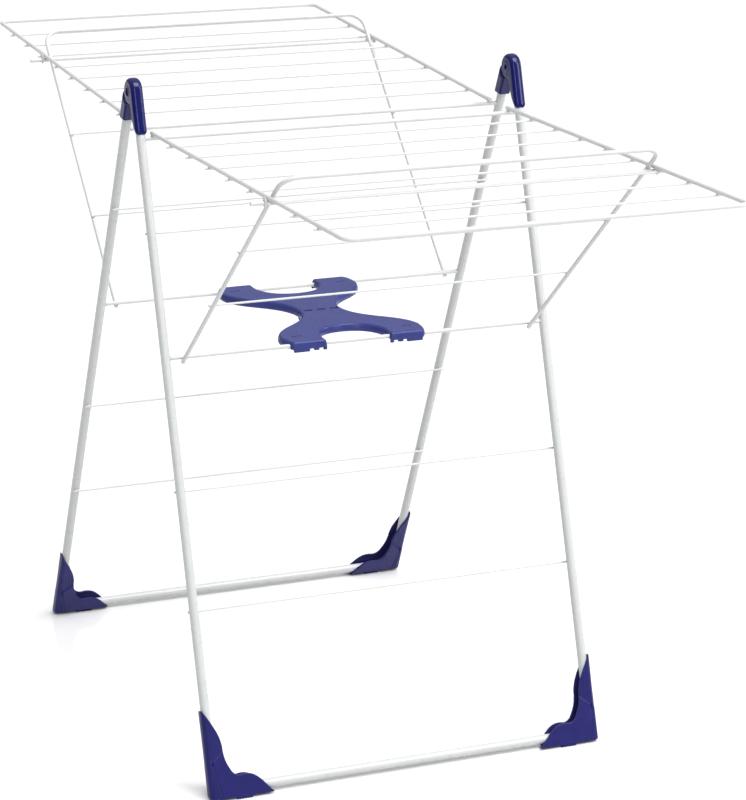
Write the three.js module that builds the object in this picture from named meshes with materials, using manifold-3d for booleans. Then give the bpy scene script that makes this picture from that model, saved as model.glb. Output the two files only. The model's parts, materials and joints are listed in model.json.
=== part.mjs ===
// Folding clothes drying rack: two U-shaped leg frames hinged together at the top in
// plastic connectors, two wire wings pinned into the leg tops, a wire strut under each
// wing, and a plastic spreader that clips across the foot rods to hold the legs apart.
//
// Millimetres, +Z up. X runs along the drying rods, the rack opens towards -Y (front)
// and +Y (back), and the origin is on the floor in the middle of the footprint.
import * as THREE from 'three';
import { mergeVertices } from 'three/addons/utils/BufferGeometryUtils.js';
import Module from 'manifold-3d';

const wasm = await Module();
wasm.setup();

// ---- driving dimensions ----------------------------------------------------------

const GAP = 0.3;                  // air between pieces that touch on the real rack
const RUN = 0.35;                 // running clearance of a pin in its hole

const LEG_ANGLE = THREE.MathUtils.degToRad(20.5);   // each leg frame from upright
const LEG_SPACING = 576;          // between the left and right leg centrelines
const LEG_REACH = 961.5;          // along the leg, hinge line to bottom tube
const LEG_OFFSET = 9;             // leg centreline to hinge axis
const TUBE_R = 6.5;
const TUBE_BORE_R = 5.5;
const TUBE_BEND_R = 38;
const BOTTOM_TUBE_Z = 11;         // bottom tube centre above the floor

const THIN_R = 1.5;               // drying rods and cross wires
const THICK_R = 3;                // rails, pivot bars, axles, struts and foot rods
const FRAME_WIRES = { upper: 196.6, middle: 552, lower: 716.4 };   // along the leg
const FRAME_WIRE_LENGTH = 588;
const FOOT_ROD_AT = 369;          // along the leg
const WING_PIVOT_AT = 67.1;       // along the leg

const WING_TILT = THREE.MathUtils.degToRad(1.8);    // outer edge held slightly high
const RAIL_X = 270.5;
const WING_LENGTH = 664;          // pivot bar to outer bar
const WING_BEND_R = 14;
const ROD_COUNT = 8;
const ROD_PITCH = 73.3;
const ROD_LENGTH = 554;
const AXLE_AT = 424;              // along the wing from its pivot
const AXLE_LEFT_X = 294;          // the axle sticks out beyond the left rail
const AXLE_RIGHT_X = 278.5;

const STRUT_X = 263.5;
const STRUT_LOOP = 46;            // loop above the axle
const STRUT_TAIL = 3;             // leg ends beyond the foot rod
const STRUT_BEND_R = 24;
const STRUT_WIRES = { upper: 142, lower: 285 };     // below the axle

const SLEEVE_W = 18;              // connector width along X, and across the leg
const DOME_R = 19;
const FRONT_SLEEVE_END = 64;      // tip below the hinge axis, along the leg
const FRONT_SLEEVE_CUT = 37;      // where its inner edge starts to curve away
const REAR_SLEEVE_END = 50;
const TONGUE_R = 11.5;
const TONGUE_W = 6;
const HINGE_PIN_R = 3;
const PIN_RECESS_R = 5;

const FOOT_W = 20;                // across the leg frame
const FOOT_OUT = 9;               // leg centreline to the outer wall
const FOOT_ROUND = 8;             // rounding of the two outer corners
const FOOT_TIP = 111;             // height of the tip above the bottom tube
const SOLE_Z = 3.4;               // level underside above the floor
const PAD = { from: 29, to: 53, width: 18 };        // step pad under a foot

const SPREADER_X = -3;            // middle of the spreader along the rods
const SPREADER_ARM = 108;         // half width across the arm ends
const SPREADER_MOUTH = 48;        // half width of the gap between two arms
const SLOT_PITCH = 20.5;          // between the slots in the front half
const SPREADER_WALL = 2.4;
const SPREADER_TOP = 7.2;         // top face above the rod centres
const SPREADER_SKIRT = 5;         // skirt below the rod centres
const SPREADER_WAIST = 33;        // half width where the two halves meet
const SPREADER_RELEASE = 34;      // the front clip lets its rod out inwards this far
const CLIP_LIP = 8.5;             // arm ends beyond the rod centre
const KNUCKLE_R = 4;
const KNUCKLE_SPLIT = 20;         // middle knuckle reaches this far each way
const WAIST_PIN_R = 1.5;

// ---- places worked out from the dimensions ------------------------------------------

const LEG_X = LEG_SPACING / 2;
const HINGE_Z = BOTTOM_TUBE_Z + LEG_REACH * Math.cos(LEG_ANGLE) - LEG_OFFSET * Math.sin(LEG_ANGLE);
const RAIL_V = 2 * THICK_R + GAP;                   // rail centre above the pivot bar
const ROD_V = RAIL_V - THICK_R - THIN_R - GAP;      // drying rods hang under the rails
const AXLE_V = RAIL_V - 2 * THICK_R - 0.5;
const BESIDE = 2 * THICK_R + GAP;                   // two crossing thick wires
const WIRE_BESIDE = THICK_R + THIN_R + GAP;

// A point on a leg centreline, as [distance out from the middle, height].
function legPoint(along) {
  const out = LEG_OFFSET * Math.cos(LEG_ANGLE) + along * Math.sin(LEG_ANGLE);
  const up = HINGE_Z + LEG_OFFSET * Math.sin(LEG_ANGLE) - along * Math.cos(LEG_ANGLE);
  return [out, up];
}

const [PIVOT_OUT, PIVOT_Z] = legPoint(WING_PIVOT_AT);
const [FOOT_ROD_OUT, FOOT_ROD_Z] = legPoint(FOOT_ROD_AT);

// The strut leg passes inside the axle and outside the foot rod.
function strutLine() {
  const axleOut = PIVOT_OUT + AXLE_AT * Math.cos(WING_TILT) - AXLE_V * Math.sin(WING_TILT);
  const axleUp = PIVOT_Z + AXLE_AT * Math.sin(WING_TILT) + AXLE_V * Math.cos(WING_TILT);
  const out = axleOut - FOOT_ROD_OUT;
  const up = axleUp - FOOT_ROD_Z;
  const span = Math.hypot(out, up);
  const lean = Math.atan2(out, up) - Math.asin((2 * BESIDE + GAP) / span);
  return { lean, span };
}
const STRUT = strutLine();

// ---- materials ------------------------------------------------------------------------

function whiteCoat(color) {
  return new THREE.MeshStandardMaterial({ color, roughness: 0.38, metalness: 0.0 });
}

function bluePlastic(color, roughness) {
  return new THREE.MeshStandardMaterial({ color, roughness, metalness: 0.0 });
}

const TUBE_COAT = 0xdadcd9;
const WIRE_COAT = 0xe9e9e4;
const CONNECTOR_BLUE = 0x2a2a72;
const FOOT_BLUE = 0x3c3c86;
const SPREADER_BLUE = 0x5a64a0;
const PIN_BLACK = 0x16161c;

// ---- solids -----------------------------------------------------------------------------

function solid(geometry) {
  const bare = geometry.clone();
  bare.deleteAttribute('normal');
  bare.deleteAttribute('uv');
  const merged = mergeVertices(bare, 1e-4);
  return new wasm.Manifold(new wasm.Mesh({
    numProp: 3,
    vertProperties: new Float32Array(merged.attributes.position.array),
    triVerts: new Uint32Array(merged.index.array),
  }));
}

function toGeometry(body) {
  const mesh = body.getMesh();
  const geometry = new THREE.BufferGeometry();
  geometry.setAttribute('position', new THREE.BufferAttribute(mesh.vertProperties, 3));
  geometry.setIndex(new THREE.BufferAttribute(mesh.triVerts, 1));
  geometry.computeVertexNormals();
  return geometry;
}

function polygon(radius, sides) {
  const points = [];
  for (let i = 0; i < sides; i += 1) {
    const angle = ((i + 0.5) / sides) * 2 * Math.PI;
    points.push(new THREE.Vector2(radius * Math.cos(angle), radius * Math.sin(angle)));
  }
  return points;
}

function discShape(radius, sides) {
  return new THREE.Shape(polygon(radius, sides));
}

function ringShape(outer, inner, sides) {
  const shape = discShape(outer, sides);
  shape.holes.push(new THREE.Path(polygon(inner, sides)));
  return shape;
}

// A straight bar along X between two places.
function barX(x0, x1, radius, sides = 8) {
  const bar = new THREE.CylinderGeometry(radius, radius, x1 - x0, sides);
  bar.rotateZ(Math.PI / 2);
  bar.translate((x0 + x1) / 2, 0, 0);
  return bar;
}

function block(x0, x1, y0, y1, z0, z1) {
  const box = new THREE.BoxGeometry(x1 - x0, y1 - y0, z1 - z0);
  box.translate((x0 + x1) / 2, (y0 + y1) / 2, (z0 + z1) / 2);
  return box;
}

// A path of given stations, so that straight stretches need no extra steps.
class StationPath extends THREE.Curve {
  constructor(stations) {
    super();
    this.stations = stations;
  }

  at(u) {
    return this.stations[Math.round(u * (this.stations.length - 1))];
  }

  getPointAt(u, target = new THREE.Vector3()) {
    return target.copy(this.at(u).point);
  }

  getTangentAt(u, target = new THREE.Vector3()) {
    return target.copy(this.at(u).tangent);
  }
}

// Stations along a polyline whose inner corners are rounded.
function roundedPath(corners, bendRadius, bendSteps) {
  const stations = [];
  const last = corners.length - 1;
  const direction = (i) => corners[i + 1].clone().sub(corners[i]).normalize();
  stations.push({ point: corners[0].clone(), tangent: direction(0) });
  for (let i = 1; i < last; i += 1) {
    const before = direction(i - 1);
    const after = direction(i);
    const turn = before.angleTo(after);
    const inset = bendRadius * Math.tan(turn / 2);
    const start = corners[i].clone().addScaledVector(before, -inset);
    const sideways = after.clone().addScaledVector(before, -Math.cos(turn)).normalize();
    for (let k = 0; k <= bendSteps; k += 1) {
      const angle = (turn * k) / bendSteps;
      const point = start.clone()
        .addScaledVector(before, bendRadius * Math.sin(angle))
        .addScaledVector(sideways, bendRadius * (1 - Math.cos(angle)));
      const tangent = before.clone().multiplyScalar(Math.cos(angle))
        .addScaledVector(sideways, Math.sin(angle));
      stations.push({ point, tangent });
    }
  }
  stations.push({ point: corners[last].clone(), tangent: direction(last - 1) });
  return new StationPath(stations);
}

function sweep(shape, path) {
  const steps = path.stations.length - 1;
  return new THREE.ExtrudeGeometry(shape, { steps, extrudePath: path, curveSegments: 6 });
}

// A U of wire or tube in the local XZ plane: down one side, across, and up the other.
function uPath(halfWidth, topZ, bottomZ, y, bendRadius, bendSteps) {
  return roundedPath([
    new THREE.Vector3(-halfWidth, y, topZ),
    new THREE.Vector3(-halfWidth, y, bottomZ),
    new THREE.Vector3(halfWidth, y, bottomZ),
    new THREE.Vector3(halfWidth, y, topZ),
  ], bendRadius, bendSteps);
}

// An outline in the local YZ plane given a width along X, centred on x.
function slabX(shape, x, width, bevel = 0) {
  const slab = new THREE.ExtrudeGeometry(shape, {
    depth: width - 2 * bevel,
    bevelEnabled: bevel > 0,
    bevelThickness: bevel,
    bevelSize: bevel,
    bevelOffset: -bevel,
    bevelSegments: 3,
    curveSegments: 10,
  });
  slab.translate(0, 0, bevel - width / 2);
  slab.rotateX(Math.PI / 2);
  slab.rotateZ(Math.PI / 2);
  slab.translate(x, 0, 0);
  return slab;
}

function piece(name, body, material) {
  const geometry = body instanceof THREE.BufferGeometry ? toGeometry(solid(body)) : toGeometry(body);
  const mesh = new THREE.Mesh(geometry, material);
  mesh.name = name;
  return mesh;
}

// ---- leg frames ---------------------------------------------------------------------------

// Local frame of a leg frame: the hinge axis is the origin, -Z runs down the leg and
// -Y points outwards.
const LEG_MATRIX = new THREE.Matrix4().makeTranslation(0, 0, HINGE_Z)
  .multiply(new THREE.Matrix4().makeRotationX(-LEG_ANGLE));

function legTube(tubeTop) {
  const path = uPath(LEG_X, -tubeTop, -LEG_REACH, -LEG_OFFSET, TUBE_BEND_R, 6);
  let tube = solid(sweep(ringShape(TUBE_R, TUBE_BORE_R, 14), path));
  for (const side of [-1, 1]) {
    for (const along of [FOOT_ROD_AT, WING_PIVOT_AT]) {
      const inner = side * (LEG_X - TUBE_R - 1);
      const middle = side * LEG_X;
      const drill = barX(Math.min(inner, middle), Math.max(inner, middle), THICK_R + RUN, 12);
      drill.translate(0, -LEG_OFFSET, -along);
      tube = tube.subtract(solid(drill));
    }
  }
  return tube;
}

function frameWire(along) {
  const half = FRAME_WIRE_LENGTH / 2;
  const wire = barX(-half, half, THIN_R);
  wire.translate(0, -LEG_OFFSET + TUBE_R + THIN_R + GAP, -along);
  return wire;
}

function footRod() {
  const end = LEG_X - 3;
  const rod = barX(-end, end, THICK_R, 12);
  rod.translate(0, -LEG_OFFSET, -FOOT_ROD_AT);
  return rod;
}

// ---- feet -------------------------------------------------------------------------------------

// Outline of a foot: x inwards from the leg centreline, y up from the bottom tube.
function footOutline() {
  const shape = new THREE.Shape();
  shape.moveTo(-FOOT_OUT, -14);
  shape.lineTo(85, -14);
  shape.lineTo(85, -6);
  shape.bezierCurveTo(76, 2, 66, 16.5, 52, 17);
  shape.bezierCurveTo(45, 17.4, 38, 14, 31, 17);
  shape.bezierCurveTo(22, 22, 17.5, 34, 16, 47);
  shape.bezierCurveTo(15.5, 70, 2, 92, FOOT_ROUND / 2 - FOOT_OUT, FOOT_TIP);
  shape.lineTo(-FOOT_OUT, FOOT_TIP);
  return shape;
}

// Plan of a foot, x inwards and y across the leg frame: the outer corners are rounded.
function footPlan() {
  const half = FOOT_W / 2;
  const centre = FOOT_ROUND - FOOT_OUT;
  const shape = new THREE.Shape();
  shape.moveTo(100, -half);
  shape.lineTo(100, half);
  shape.lineTo(centre, half);
  shape.absarc(centre, half - FOOT_ROUND, FOOT_ROUND, Math.PI / 2, Math.PI, false);
  shape.absarc(centre, FOOT_ROUND - half, FOOT_ROUND, Math.PI, 1.5 * Math.PI, false);
  return shape;
}

// Everything below a level above the floor, in the local frame of a leg frame.
function under(level) {
  const region = block(-LEG_X - 50, LEG_X + 50, -LEG_REACH, 0, level - 60, level);
  return solid(region.applyMatrix4(LEG_MATRIX.clone().invert()));
}

// The foot is a channel: the tube lies in it and its inner side is open.
function footChannel() {
  const wall = TUBE_R + GAP;
  const shape = new THREE.Shape();
  shape.moveTo(-wall, -34);
  shape.lineTo(wall, -34);
  shape.lineTo(wall, 0);
  shape.absarc(0, 0, wall, 0, Math.PI, false);
  return shape;
}

function foot(side) {
  const across = new THREE.ExtrudeGeometry(footOutline(), {
    depth: FOOT_W,
    bevelEnabled: false,
    curveSegments: 7,
  });
  across.rotateX(Math.PI / 2);
  across.translate(-LEG_X, FOOT_W / 2 - LEG_OFFSET, -LEG_REACH);
  const plan = new THREE.ExtrudeGeometry(footPlan(), {
    depth: 160,
    bevelEnabled: false,
    curveSegments: 5,
  });
  plan.translate(-LEG_X, -LEG_OFFSET, -LEG_REACH - 40);
  const padSide = PAD.width / 2;
  const pad = block(
    PAD.from - LEG_X,
    PAD.to - LEG_X,
    -LEG_OFFSET - padSide,
    -LEG_OFFSET + padSide,
    -LEG_REACH - 24,
    -LEG_REACH - TUBE_R - 1,
  );
  const path = roundedPath([
    new THREE.Vector3(-LEG_X, -LEG_OFFSET, -LEG_REACH + 130),
    new THREE.Vector3(-LEG_X, -LEG_OFFSET, -LEG_REACH),
    new THREE.Vector3(-LEG_X + 110, -LEG_OFFSET, -LEG_REACH),
  ], TUBE_BEND_R, 6);
  const shell = solid(across).intersect(solid(plan)).subtract(under(SOLE_Z))
    .add(solid(pad).subtract(under(0)))
    .subtract(solid(sweep(footChannel(), path)));
  return side < 0 ? shell : shell.mirror([1, 0, 0]);
}

// ---- hinge connectors ----------------------------------------------------------------------------

// Side outline of the front sleeve, y outwards negative and z up: the inner edge curves
// away to a rounded tip at the outside.
function frontSleeveOutline() {
  const outer = -LEG_OFFSET - SLEEVE_W / 2;
  const shape = new THREE.Shape();
  shape.moveTo(outer, 0);
  shape.lineTo(outer, -FRONT_SLEEVE_END + 8);
  shape.bezierCurveTo(outer, -FRONT_SLEEVE_END + 2, outer + 3, -FRONT_SLEEVE_END, outer + 6, 1 - FRONT_SLEEVE_END);
  shape.bezierCurveTo(outer + 12, 6 - FRONT_SLEEVE_END, -GAP, -FRONT_SLEEVE_CUT - 10, -GAP, -FRONT_SLEEVE_CUT);
  shape.lineTo(-GAP, 0);
  return shape;
}

// Front view of the front sleeve: both sides run down into a round end.
function frontSleeveFace() {
  const half = SLEEVE_W / 2;
  const shape = new THREE.Shape();
  shape.moveTo(-half, DOME_R + 1);
  shape.lineTo(-half, half + 1 - FRONT_SLEEVE_END);
  shape.absarc(0, half + 1 - FRONT_SLEEVE_END, half, Math.PI, 2 * Math.PI, false);
  shape.lineTo(half, DOME_R + 1);
  return shape;
}

function rearSleeveOutline() {
  const outer = -LEG_OFFSET - SLEEVE_W / 2;
  return new THREE.Shape([
    new THREE.Vector2(outer, 0),
    new THREE.Vector2(outer, -REAR_SLEEVE_END - 2),
    new THREE.Vector2(outer + 5, -REAR_SLEEVE_END - 2),
    new THREE.Vector2(-GAP, -REAR_SLEEVE_END + 2),
    new THREE.Vector2(-GAP, 0),
  ]);
}

function legPocket(x, from) {
  const pocket = new THREE.CylinderGeometry(TUBE_R + GAP, TUBE_R + GAP, 100, 16);
  pocket.rotateX(Math.PI / 2);
  pocket.translate(x, -LEG_OFFSET, -from + GAP - 50);
  return solid(pocket);
}

function hingeBore(x, outward) {
  const through = barX(x - SLEEVE_W / 2 - 1, x + SLEEVE_W / 2 + 1, HINGE_PIN_R + RUN, 12);
  const recessFrom = x + outward * (SLEEVE_W / 2 - 2);
  const recessTo = x + outward * (SLEEVE_W / 2 + 1);
  const recess = barX(Math.min(recessFrom, recessTo), Math.max(recessFrom, recessTo), PIN_RECESS_R, 16);
  return solid(through).add(solid(recess));
}

function frontSleeve(x, tubeTop) {
  const outward = Math.sign(x);
  const dome = slabX(discShape(DOME_R, 36), x, SLEEVE_W, 5);
  const sleeve = slabX(frontSleeveOutline(), x, SLEEVE_W, 2);
  const face = new THREE.ExtrudeGeometry(frontSleeveFace(), {
    depth: 60,
    bevelEnabled: false,
    curveSegments: 8,
  });
  face.rotateX(Math.PI / 2);
  face.translate(x, 30, 0);
  const half = TONGUE_W / 2 + GAP;
  const slot = solid(block(x - half, x + half, -0.5, 30, -30, 30))
    .add(solid(barX(x - half, x + half, TONGUE_R + 0.5, 28)));
  return solid(dome).add(solid(sleeve)).intersect(solid(face)).subtract(slot)
    .subtract(legPocket(x, tubeTop)).subtract(hingeBore(x, outward));
}

function rearSleeve(x, tubeTop) {
  const outward = Math.sign(x);
  const sleeve = solid(slabX(rearSleeveOutline(), x, SLEEVE_W, 2))
    .subtract(solid(barX(x - SLEEVE_W, x + SLEEVE_W, DOME_R + 0.5, 36)));
  const half = TONGUE_W / 2;
  const tongue = solid(barX(x - half, x + half, TONGUE_R, 28))
    .add(solid(block(x - half, x + half, -LEG_OFFSET - 6, -2, -30, -4)));
  const lugY = -LEG_OFFSET - SLEEVE_W / 2;
  const lug = block(x - 2.5, x + 2.5, lugY - 2.5, lugY + 1.5, -REAR_SLEEVE_END - 6, -REAR_SLEEVE_END + 6);
  return sleeve.add(tongue).add(solid(lug))
    .subtract(legPocket(x, tubeTop)).subtract(hingeBore(x, outward));
}

function hingePin(x) {
  const half = SLEEVE_W / 2 - 2.2;
  return barX(x - half, x + half, HINGE_PIN_R, 12);
}

// ---- wings ------------------------------------------------------------------------------------------

// Local frame of a wing: the pivot is the origin and -Y runs out along the wing.
function wingFrame() {
  const path = roundedPath([
    new THREE.Vector3(-RAIL_X, 5, RAIL_V),
    new THREE.Vector3(-RAIL_X, -WING_LENGTH, RAIL_V),
    new THREE.Vector3(RAIL_X, -WING_LENGTH, RAIL_V),
    new THREE.Vector3(RAIL_X, 5, RAIL_V),
  ], WING_BEND_R, 5);
  return sweep(discShape(THICK_R, 8), path);
}

function dryingRod(index) {
  const rod = barX(-ROD_LENGTH / 2, ROD_LENGTH / 2, THIN_R);
  rod.translate(0, -index * ROD_PITCH, ROD_V);
  return rod;
}

// A small plate on the outside of a rail with an eye that holds the axle.
function axleEye(side) {
  const thickness = 2.2;
  const x = side * (RAIL_X + THICK_R + GAP + thickness / 2);
  const plate = block(x - thickness / 2, x + thickness / 2, -5, 5, -5, RAIL_V + 2);
  const hole = barX(x - 3, x + 3, THICK_R + RUN, 14);
  const eye = solid(plate).subtract(solid(hole));
  return eye.translate([0, -AXLE_AT, AXLE_V]);
}

// ---- struts -----------------------------------------------------------------------------------------------

// Local frame of a strut: the axle is the origin, +Z runs up the strut legs, and +Y is
// the side that faces the rack.
function strutFrame() {
  const path = uPath(STRUT_X, -STRUT.span - STRUT_TAIL, STRUT_LOOP, BESIDE, STRUT_BEND_R, 6);
  return sweep(discShape(THICK_R, 8), path);
}

function strutWire(below) {
  const wire = barX(-STRUT_X - THICK_R - 1, STRUT_X + THICK_R + 1, THIN_R);
  wire.translate(0, BESIDE + WIRE_BESIDE, -below);
  return wire;
}

// ---- spreader ----------------------------------------------------------------------------------------------

// Half of the X-shaped outline, x along the rods and y from the waist to the arm ends.
function spreaderHalf(inset, end) {
  const arm = SPREADER_ARM - inset;
  const mouth = SPREADER_MOUTH + inset;
  const waist = SPREADER_WAIST - inset;
  const tip = FOOT_ROD_OUT + CLIP_LIP - inset;
  const shape = new THREE.Shape();
  shape.moveTo(-waist, end);
  shape.bezierCurveTo(-waist - 2, 60 + inset, -arm + 8, 62 + inset, -arm, 112);
  shape.bezierCurveTo(-arm - 1, 128, -arm + 4, tip, -arm + 12, tip);
  shape.lineTo(-mouth, tip);
  shape.lineTo(-mouth, 122);
  shape.bezierCurveTo(-mouth + 8, 92 - inset, -mouth + 26, 86 - inset, 0, 85 - inset);
  shape.bezierCurveTo(mouth - 26, 86 - inset, mouth - 8, 92 - inset, mouth, 122);
  shape.lineTo(mouth, tip);
  shape.lineTo(arm - 12, tip);
  shape.bezierCurveTo(arm - 4, tip, arm + 1, 128, arm, 112);
  shape.bezierCurveTo(arm - 8, 62 + inset, waist + 2, 60 + inset, waist, end);
  return shape;
}

function spreaderPlate(inset, end, z0, z1) {
  const plate = new THREE.ExtrudeGeometry(spreaderHalf(inset, end), {
    depth: z1 - z0,
    bevelEnabled: false,
    curveSegments: 8,
  });
  plate.translate(0, 0, z0);
  return solid(plate);
}

// A bar along the waist hinge, whose axis lies level with the bottom of the skirts.
function waistBar(x0, x1, radius) {
  const bar = barX(x0, x1, radius, 16);
  bar.translate(0, 0, -SPREADER_SKIRT);
  return solid(bar);
}

// Two lugs under the outer lip of a rod clip.
function clipLugs(side) {
  const outer = FOOT_ROD_OUT + CLIP_LIP - 0.2;
  return [58, 86].map((x) => (
    block(side * x - 5, side * x + 5, outer - 3, outer, -SPREADER_SKIRT - 3.5, -SPREADER_SKIRT + 1)
  ));
}

// A spreader half: a ribbed plate with skirts, a waist wall for the hinge, and a rod clip
// in each arm end that is open below, and inwards for the length of the release notch.
function spreaderShell(release) {
  const end = GAP / 2;
  const waistWall = 8;
  let shell = spreaderPlate(0, end, -SPREADER_SKIRT, SPREADER_TOP).subtract(
    spreaderPlate(SPREADER_WALL, end + waistWall, -SPREADER_SKIRT - 1, SPREADER_TOP - SPREADER_WALL),
  );
  for (const side of [-1, 1]) {
    const x0 = side < 0 ? 3 - SPREADER_ARM : SPREADER_MOUTH + 3;
    const x1 = x0 + SPREADER_ARM - SPREADER_MOUTH - 6;
    shell = shell.add(solid(block(x0, x1, 128, FOOT_ROD_OUT + 7, -SPREADER_SKIRT, SPREADER_TOP - 1)));
    for (const lug of clipLugs(side)) {
      shell = shell.add(solid(lug));
    }
    const slit = block(side * 84 - 7, side * 84 + 7, 117, 119.5, 0, SPREADER_TOP + 1);
    shell = shell.subtract(solid(slit));
  }
  const bore = THICK_R + RUN;
  const groove = barX(-130, 130, bore, 16);
  groove.translate(0, FOOT_ROD_OUT, 0);
  const mouth = block(-130, 130, FOOT_ROD_OUT - bore, FOOT_ROD_OUT + bore, -20, 0);
  const notch = block(-130, 130, FOOT_ROD_OUT - release, FOOT_ROD_OUT, -20, bore);
  return shell.subtract(solid(groove)).subtract(solid(mouth)).subtract(solid(notch));
}

// The rear half carries the two outer knuckles of the waist hinge.
function spreaderRear() {
  let shell = spreaderShell(THICK_R)
    .subtract(waistBar(-KNUCKLE_SPLIT - GAP, KNUCKLE_SPLIT + GAP, KNUCKLE_R + 0.5));
  for (const side of [-1, 1]) {
    const inner = side * (KNUCKLE_SPLIT + GAP);
    const outer = side * (SPREADER_WAIST - 2);
    shell = shell.add(waistBar(Math.min(inner, outer), Math.max(inner, outer), KNUCKLE_R));
  }
  return shell.subtract(waistBar(-50, 50, WAIST_PIN_R + RUN));
}

// The front half carries the middle knuckle and three slots in its top.
function spreaderFront() {
  let shell = spreaderShell(SPREADER_RELEASE)
    .subtract(waistBar(-50, -KNUCKLE_SPLIT, KNUCKLE_R + 0.5))
    .subtract(waistBar(KNUCKLE_SPLIT, 50, KNUCKLE_R + 0.5))
    .add(waistBar(-KNUCKLE_SPLIT, KNUCKLE_SPLIT, KNUCKLE_R));
  for (const x of [-SLOT_PITCH, 0, SLOT_PITCH]) {
    shell = shell.subtract(solid(block(x - 6, x + 6, 3, 9.5, 1, SPREADER_TOP + 1)));
  }
  return shell.subtract(waistBar(-50, 50, WAIST_PIN_R + RUN)).rotate([0, 0, 180]);
}

function spreaderPin() {
  return waistBar(-SPREADER_WAIST + 3, SPREADER_WAIST - 3, WAIST_PIN_R);
}

// ---- assembly ------------------------------------------------------------------------------------------------

// One half of the rack, built facing the front; the back half is the same turned round.
function buildHalf(half) {
  const isBack = half === 'back';
  const sideName = (x) => ((x < 0) !== isBack ? 'left' : 'right');
  const tubeTop = isBack ? 24 : 14;
  const group = new THREE.Group();
  group.rotation.z = isBack ? Math.PI : 0;

  const legs = new THREE.Group();
  legs.position.z = HINGE_Z;
  legs.rotation.x = -LEG_ANGLE;
  group.add(legs);
  legs.add(piece(`${half}_leg_tube`, legTube(tubeTop), whiteCoat(TUBE_COAT)));
  for (const [level, along] of Object.entries(FRAME_WIRES)) {
    legs.add(piece(`${half}_frame_wire_${level}`, frameWire(along), whiteCoat(WIRE_COAT)));
  }
  legs.add(piece(`${half}_foot_rod`, footRod(), whiteCoat(WIRE_COAT)));
  for (const side of [-1, 1]) {
    const x = side * LEG_X;
    const name = sideName(x);
    const sleeve = isBack ? rearSleeve(x, tubeTop) : frontSleeve(x, tubeTop);
    legs.add(piece(`${half}_foot_${name}`, foot(side), bluePlastic(FOOT_BLUE, 0.42)));
    legs.add(piece(`${half}_hinge_sleeve_${name}`, sleeve, bluePlastic(CONNECTOR_BLUE, 0.15)));
    if (isBack) {
      legs.add(piece(`hinge_pin_${name}`, hingePin(x), bluePlastic(PIN_BLACK, 0.4)));
    }
  }

  const wing = new THREE.Group();
  wing.position.set(0, -PIVOT_OUT, PIVOT_Z);
  wing.rotation.x = -WING_TILT;
  group.add(wing);
  const barEnd = LEG_X - 3;
  wing.add(piece(`${half}_wing_pivot_bar`, barX(-barEnd, barEnd, THICK_R, 12), whiteCoat(WIRE_COAT)));
  wing.add(piece(`${half}_wing_frame`, wingFrame(), whiteCoat(WIRE_COAT)));
  for (let i = 1; i <= ROD_COUNT; i += 1) {
    wing.add(piece(`${half}_wing_rod_${i}`, dryingRod(i), whiteCoat(WIRE_COAT)));
  }
  for (const side of [-1, 1]) {
    wing.add(piece(`${half}_axle_eye_${sideName(side)}`, axleEye(side), whiteCoat(WIRE_COAT)));
  }

  const strut = new THREE.Group();
  strut.position.set(0, -AXLE_AT, AXLE_V);
  strut.rotation.x = STRUT.lean + WING_TILT;
  wing.add(strut);
  const axleMin = isBack ? -AXLE_RIGHT_X : -AXLE_LEFT_X;
  const axleMax = isBack ? AXLE_LEFT_X : AXLE_RIGHT_X;
  strut.add(piece(`${half}_strut_frame`, strutFrame(), whiteCoat(WIRE_COAT)));
  strut.add(piece(`${half}_strut_axle`, barX(axleMin, axleMax, THICK_R, 12), whiteCoat(WIRE_COAT)));
  for (const [level, below] of Object.entries(STRUT_WIRES)) {
    strut.add(piece(`${half}_strut_wire_${level}`, strutWire(below), whiteCoat(WIRE_COAT)));
  }
  return group;
}

function buildSpreader() {
  const group = new THREE.Group();
  group.position.set(SPREADER_X, 0, FOOT_ROD_Z);
  group.add(piece('spreader_rear', spreaderRear(), bluePlastic(SPREADER_BLUE, 0.4)));
  group.add(piece('spreader_front', spreaderFront(), bluePlastic(SPREADER_BLUE, 0.4)));
  group.add(piece('spreader_hinge_pin', spreaderPin(), whiteCoat(WIRE_COAT)));
  return group;
}

const rack = new THREE.Group();
rack.add(buildHalf('back'));
rack.add(buildHalf('front'));
rack.add(buildSpreader());

export default rack;
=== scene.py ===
"""Folding clothes drying rack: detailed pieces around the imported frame.

Lengths are in millimetres until a mesh is made; Blender objects are in metres. The wires and
tubes are swept rods, and the moulded plastic parts are distance fields turned into meshes.
"""
import json
import math

import bpy
import numpy as np
from mathutils import Matrix, Vector


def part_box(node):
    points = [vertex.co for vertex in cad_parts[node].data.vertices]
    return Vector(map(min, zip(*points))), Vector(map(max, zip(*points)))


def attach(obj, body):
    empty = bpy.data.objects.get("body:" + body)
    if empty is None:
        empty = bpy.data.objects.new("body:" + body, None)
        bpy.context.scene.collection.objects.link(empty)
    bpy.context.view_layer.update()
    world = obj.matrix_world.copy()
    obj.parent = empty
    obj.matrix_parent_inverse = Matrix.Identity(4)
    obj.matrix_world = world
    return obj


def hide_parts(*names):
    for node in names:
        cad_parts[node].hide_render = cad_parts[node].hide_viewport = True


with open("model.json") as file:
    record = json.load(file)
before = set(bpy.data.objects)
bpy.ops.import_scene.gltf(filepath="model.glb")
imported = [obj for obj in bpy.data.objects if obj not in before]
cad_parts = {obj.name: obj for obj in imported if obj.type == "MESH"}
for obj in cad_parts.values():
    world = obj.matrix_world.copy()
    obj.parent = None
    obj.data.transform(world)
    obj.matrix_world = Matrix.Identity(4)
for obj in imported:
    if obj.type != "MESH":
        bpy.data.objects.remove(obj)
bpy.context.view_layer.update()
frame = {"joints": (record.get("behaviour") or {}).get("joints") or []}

MM = 0.001

# ---- dimensions -------------------------------------------------------------------------

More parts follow.
